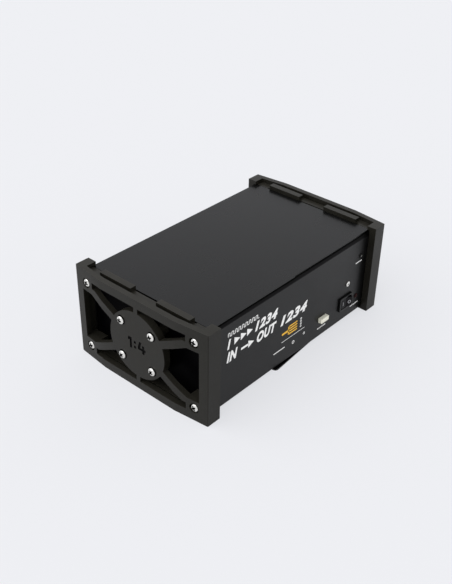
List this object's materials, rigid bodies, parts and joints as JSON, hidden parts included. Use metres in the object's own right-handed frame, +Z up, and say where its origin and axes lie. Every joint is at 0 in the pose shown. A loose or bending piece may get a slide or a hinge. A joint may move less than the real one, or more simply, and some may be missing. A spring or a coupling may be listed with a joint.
{
  "type": "dmx splitter",
  "caption": "Lighting-control signal splitter: a folded sheet-metal case with rear sockets, a switch panel, bowed rubber end frames with hub and spokes, and a swivel plate below.",
  "frame": {"origin": "middle of the footprint, on the plane that the end frames stand on", "axes": "+X along the case towards the switch end, -Y out of the control panel, +Z up"},
  "size_m": [0.265, 0.16, 0.0946],
  "materials": {
    "case_paint": "satin black powder coat",
    "frame_rubber": "matte black moulding",
    "bright_steel": "bright zinc",
    "nickel_shell": "satin nickel",
    "black_plastic": "semi-matte black",
    "cream_plastic": "smooth cream",
    "red_lens": "unlit red lamp",
    "smoke_lens": "unlit smoke lamp",
    "circuit_board": "solder-mask green"
  },
  "bodies": {
    "case": {"case_tray": "case_paint", "case_lid": "case_paint", "end_plate_right": "case_paint", "end_plate_left": "case_paint", "end_frame_right": "frame_rubber", "end_frame_left": "frame_rubber", "hub_screw_right_1": "bright_steel", "hub_screw_right_2": "bright_steel", "hub_screw_right_3": "bright_steel", "hub_screw_right_4": "bright_steel", "corner_screw_right_1": "bright_steel", "corner_screw_right_2": "bright_steel", "corner_screw_right_3": "bright_steel", "corner_screw_right_4": "bright_steel", "hub_screw_left_1": "bright_steel", "hub_screw_left_2": "bright_steel", "hub_screw_left_3": "bright_steel", "hub_screw_left_4": "bright_steel", "corner_screw_left_1": "bright_steel", "corner_screw_left_2": "bright_steel", "corner_screw_left_3": "bright_steel", "corner_screw_left_4": "bright_steel", "rocker_housing": "black_plastic", "button_switch": "black_plastic", "power_led": "red_lens", "signal_led": "smoke_lens", "panel_screw": "bright_steel", "panel_nut": "bright_steel", "input_socket": "nickel_shell", "link_socket": "nickel_shell", "output_socket_1": "nickel_shell", "output_socket_2": "nickel_shell", "output_socket_3": "nickel_shell", "output_socket_4": "nickel_shell", "mains_inlet": "black_plastic", "main_board": "circuit_board", "supply_board": "circuit_board", "main_spacer_1": "nickel_shell", "main_spacer_2": "nickel_shell", "main_spacer_3": "nickel_shell", "main_spacer_4": "nickel_shell", "supply_spacer_1": "nickel_shell", "supply_spacer_2": "nickel_shell", "supply_spacer_3": "nickel_shell", "supply_spacer_4": "nickel_shell", "pivot_bolt": "bright_steel", "pivot_washer": "bright_steel", "pivot_nut": "bright_steel"},
    "rocker": {"rocker_paddle": "black_plastic"},
    "button": {"button_cap": "cream_plastic"},
    "drawer": {"fuse_drawer": "black_plastic"},
    "plate": {"swivel_plate": "case_paint"},
    "link_latch_body": {"link_latch": "black_plastic"},
    "output_latch_1_body": {"output_latch_1": "black_plastic"},
    "output_latch_2_body": {"output_latch_2": "black_plastic"},
    "output_latch_3_body": {"output_latch_3": "black_plastic"},
    "output_latch_4_body": {"output_latch_4": "black_plastic"}
  },
  "joints": [
    {"name": "rocker_turn", "type": "hinge", "parent": "case", "child": "rocker", "pos_m": [0.0804, -0.0716, 0.02305], "axis": [0, 0, 1], "range_deg": [0, 22]},
    {"name": "button_push", "type": "slide", "parent": "case", "child": "button", "axis": [0, 1, 0], "range_m": [0, 0.002], "stiffness_N_per_m": 400},
    {"name": "drawer_slide", "type": "slide", "parent": "case", "child": "drawer", "axis": [0, 1, 0], "range_m": [0, 0.014]},
    {"name": "plate_swivel", "type": "hinge", "parent": "case", "child": "plate", "pos_m": [0, 0, 0.0009], "axis": [0, 0, 1], "continuous": true},
    {"name": "link_latch_push", "type": "slide", "parent": "case", "child": "link_latch_body", "axis": [0, -1, 0], "range_m": [0, 0.0014], "stiffness_N_per_m": 500},
    {"name": "output_latch_1_push", "type": "slide", "parent": "case", "child": "output_latch_1_body", "axis": [0, -1, 0], "range_m": [0, 0.0014], "stiffness_N_per_m": 500},
    {"name": "output_latch_2_push", "type": "slide", "parent": "case", "child": "output_latch_2_body", "axis": [0, -1, 0], "range_m": [0, 0.0014], "stiffness_N_per_m": 500},
    {"name": "output_latch_3_push", "type": "slide", "parent": "case", "child": "output_latch_3_body", "axis": [0, -1, 0], "range_m": [0, 0.0014], "stiffness_N_per_m": 500},
    {"name": "output_latch_4_push", "type": "slide", "parent": "case", "child": "output_latch_4_body", "axis": [0, -1, 0], "range_m": [0, 0.0014], "stiffness_N_per_m": 500}
  ]
}
